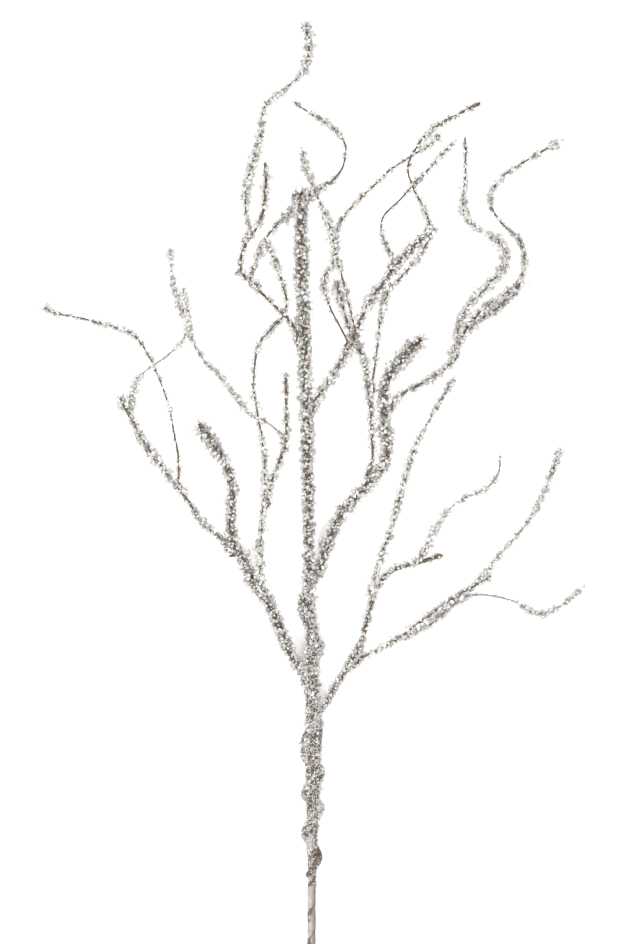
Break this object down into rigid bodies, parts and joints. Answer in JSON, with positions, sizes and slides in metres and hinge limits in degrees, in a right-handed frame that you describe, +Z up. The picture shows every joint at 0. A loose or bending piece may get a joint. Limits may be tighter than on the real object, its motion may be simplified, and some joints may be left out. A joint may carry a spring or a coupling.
{
  "type": "curly willow branch",
  "caption": "Cut spray of curly willow: a wrapped wire stem with twisted branches, blunt shoots and long wavy twigs under an iced crystal coat, lying flat.",
  "frame": {"origin": "middle of the lying branch's bounding box, on the surface it lies on", "axes": "+Y along the branch from the cut end towards the top twig, +X to the right as pictured, +Z up from the surface"},
  "size_m": [0.4339, 0.7587, 0.0671],
  "materials": {
    "wrapped_stem": "whitewashed tape over wire, matt, with brown seams",
    "iced_stem": "brown wrap under a dense coat of clear crystal chips",
    "iced_twig": "thin brown wrapped wire with scattered clear crystal chips"
  },
  "bodies": {
    "root": {"main_stem": "wrapped_stem", "short_stub": "iced_stem", "left_branch": "iced_stem", "left_side_shoot": "iced_stem", "left_long_twig": "iced_twig", "left_hooked_twig": "iced_twig", "left_middle_twig": "iced_twig", "centre_long_twig": "iced_twig", "centre_short_shoot": "iced_twig", "upper_left_shoot": "iced_stem", "top_twig": "iced_twig", "top_loop_twig": "iced_twig", "right_branch": "iced_stem", "right_inner_shoot": "iced_stem", "right_outer_shoot": "iced_stem", "right_long_twig": "iced_twig", "right_tall_twig": "iced_twig", "right_far_twig": "iced_twig", "right_forked_twig": "iced_twig", "upper_right_shoot": "iced_stem", "inner_curl_twig": "iced_twig", "upper_curl_twig": "iced_twig", "lower_right_branch": "iced_stem", "lower_right_inner_twig": "iced_twig", "lower_right_middle_twig": "iced_twig", "lower_right_shoot": "iced_stem", "lower_right_tall_twig": "iced_twig", "lower_right_wavy_twig": "iced_twig"}
  },
  "joints": []
}
